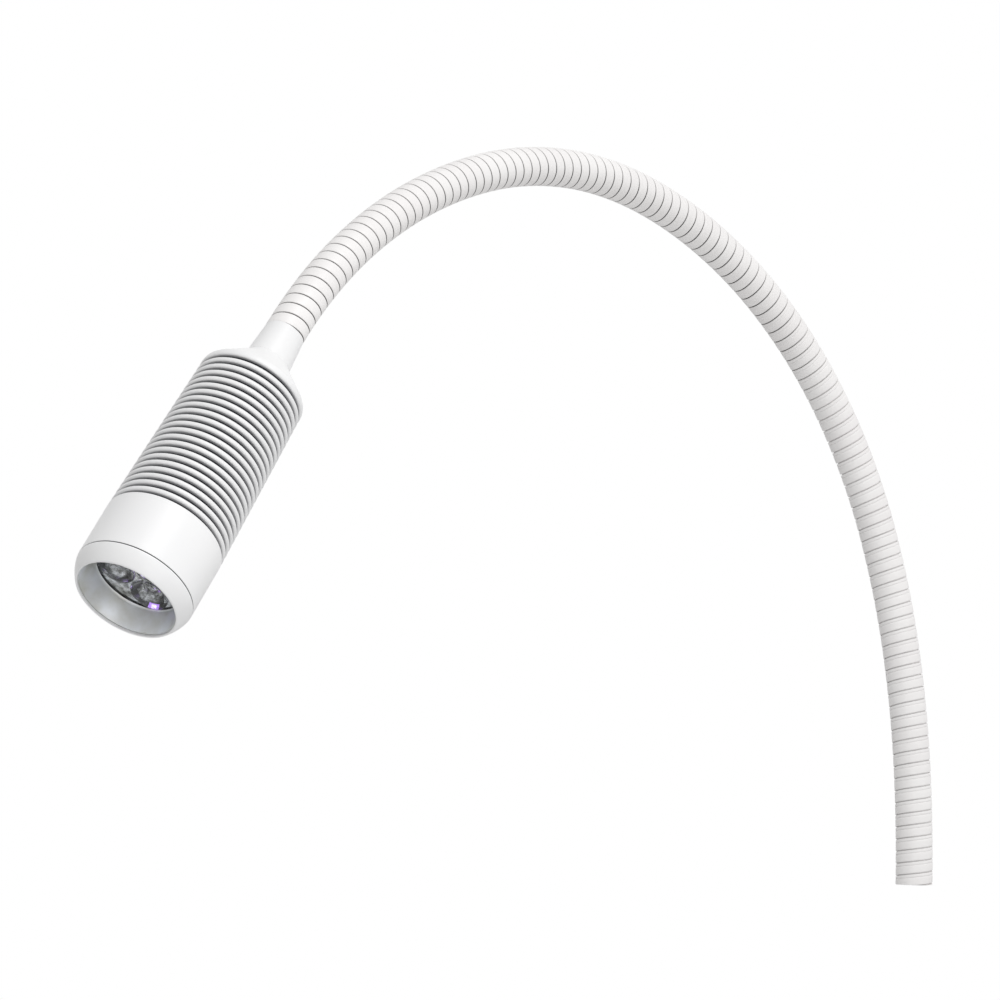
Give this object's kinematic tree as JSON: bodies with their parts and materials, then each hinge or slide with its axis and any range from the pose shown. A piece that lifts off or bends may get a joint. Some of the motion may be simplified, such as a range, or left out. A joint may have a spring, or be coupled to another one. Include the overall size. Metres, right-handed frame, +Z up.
{
  "type": "examination lamp",
  "caption": "Flexible-neck examination lamp: ribbed cylindrical LED head with a recessed three-lobed lens on a white strip-wound gooseneck with a threaded foot.",
  "frame": {"origin": "centre of the gooseneck's lower end face, at the mouth of its threaded insert", "axes": "+Z up along the neck's foot, -X towards the lamp head, Y across the plane in which the neck arches"},
  "size_m": [0.5918, 0.0788, 0.3806],
  "materials": {
    "neck_coating": "satin",
    "head_coating": "satin",
    "spring_steel": "satin",
    "zinc_steel": "satin",
    "lead_sheath": "matte",
    "black_plastic": "matte",
    "connector_plastic": "matte",
    "driver_laminate": "satin",
    "component_plastic": "satin",
    "wire_sheath": "satin",
    "pad_silicone": "matte",
    "led_board_aluminium": "satin",
    "led_phosphor": "satin",
    "clear_acrylic": "gloss",
    "seal_rubber": "matte",
    "cone_aluminium": "satin"
  },
  "bodies": {
    "foot": {"base_insert": "zinc_steel", "lead_connector": "connector_plastic", "neck_hose_1": "neck_coating", "neck_spring_1": "spring_steel", "neck_lead_1": "lead_sheath"},
    "link_2": {"neck_hose_2": "neck_coating", "neck_spring_2": "spring_steel", "neck_lead_2": "lead_sheath"},
    "link_3": {"neck_hose_3": "neck_coating", "neck_spring_3": "spring_steel", "neck_lead_3": "lead_sheath"},
    "link_4": {"neck_hose_4": "neck_coating", "neck_spring_4": "spring_steel", "neck_lead_4": "lead_sheath"},
    "link_5": {"neck_hose_5": "neck_coating", "neck_spring_5": "spring_steel", "neck_lead_5": "lead_sheath"},
    "link_6": {"neck_hose_6": "neck_coating", "neck_spring_6": "spring_steel", "neck_lead_6": "lead_sheath"},
    "link_7": {"neck_hose_7": "neck_coating", "neck_spring_7": "spring_steel", "neck_lead_7": "lead_sheath"},
    "link_8": {"neck_hose_8": "neck_coating", "neck_spring_8": "spring_steel", "neck_lead_8": "lead_sheath"},
    "link_9": {"neck_hose_9": "neck_coating", "neck_spring_9": "spring_steel", "neck_lead_9": "lead_sheath"},
    "link_10": {"neck_hose_10": "neck_coating", "neck_spring_10": "spring_steel", "neck_lead_10": "lead_sheath"},
    "link_11": {"neck_hose_11": "neck_coating", "neck_spring_11": "spring_steel", "neck_lead_11": "lead_sheath"},
    "head": {"neck_hose_12": "neck_coating", "neck_spring_12": "spring_steel", "neck_lead_12": "lead_sheath", "neck_collar": "head_coating", "collar_nipple": "zinc_steel", "nipple_nut": "zinc_steel", "nipple_washer": "zinc_steel", "cord_grip": "black_plastic", "rear_cap": "head_coating", "barrel": "head_coating", "head_lead": "lead_sheath", "driver_board": "driver_laminate", "driver_parts": "component_plastic", "driver_screws": "zinc_steel", "led_wires": "wire_sheath", "thermal_pad": "pad_silicone", "led_board": "led_board_aluminium", "led_chips": "led_phosphor", "board_screws": "zinc_steel", "optic_holder": "black_plastic", "optic": "clear_acrylic", "optic_seal": "seal_rubber", "recess_cone": "cone_aluminium"},
    "bezel": {"bezel_ring": "head_coating"}
  },
  "joints": [
    {"name": "arch_1", "type": "hinge", "parent": "foot", "child": "link_2", "pos_m": [-0.00057, 0.00212, 0.06275], "axis": [-0.0006, -0.9977, 0.0674], "range_deg": [-28, 15]},
    {"name": "swing_2", "type": "hinge", "parent": "link_2", "child": "link_3", "pos_m": [-0.00327, 0.00858, 0.12514], "axis": [0.9977, 0.0058, 0.0678], "range_deg": [-25, 25]},
    {"name": "arch_3", "type": "hinge", "parent": "link_3", "child": "link_4", "pos_m": [-0.01137, 0.01861, 0.18655], "axis": [-0.0095, -0.9832, 0.1822], "range_deg": [-28, 15]},
    {"name": "swing_4", "type": "hinge", "parent": "link_4", "child": "link_5", "pos_m": [-0.0301, 0.03029, 0.2452], "axis": [0.9144, 0.0674, 0.3992], "range_deg": [-25, 25]},
    {"name": "arch_5", "type": "hinge", "parent": "link_5", "child": "link_6", "pos_m": [-0.06337, 0.04127, 0.29706], "axis": [-0.0127, -0.9804, 0.1965], "range_deg": [-28, 15]},
    {"name": "swing_6", "type": "hinge", "parent": "link_6", "child": "link_7", "pos_m": [-0.11065, 0.04942, 0.3372], "axis": [0.5322, 0.1574, 0.8319], "range_deg": [-25, 25]},
    {"name": "arch_7", "type": "hinge", "parent": "link_7", "child": "link_8", "pos_m": [-0.16785, 0.05341, 0.36228], "axis": [0.0222, -0.9841, 0.1763], "range_deg": [-28, 15]},
    {"name": "swing_8", "type": "hinge", "parent": "link_8", "child": "link_9", "pos_m": [-0.22988, 0.05319, 0.37059], "axis": [-0.0134, 0.1746, 0.9846], "range_deg": [-25, 25]},
    {"name": "arch_9", "type": "hinge", "parent": "link_9", "child": "link_10", "pos_m": [-0.29192, 0.04974, 0.36261], "axis": [0.0321, -0.9841, 0.1749], "range_deg": [-28, 15]},
    {"name": "swing_10", "type": "hinge", "parent": "link_10", "child": "link_11", "pos_m": [-0.35072, 0.04439, 0.34151], "axis": [-0.4343, 0.1448, 0.8891], "range_deg": [-25, 25]},
    {"name": "arch_11", "type": "hinge", "parent": "link_11", "child": "head", "pos_m": [-0.40432, 0.03771, 0.30966], "axis": [0.0199, -0.9853, 0.1699], "range_deg": [-28, 15]},
    {"name": "bezel_turn", "type": "hinge", "parent": "head", "child": "bezel", "pos_m": [-0.55917, 0.01416, 0.14073], "axis": [-0.6494, -0.0995, -0.7539], "range_deg": [0, 90]}
  ]
}
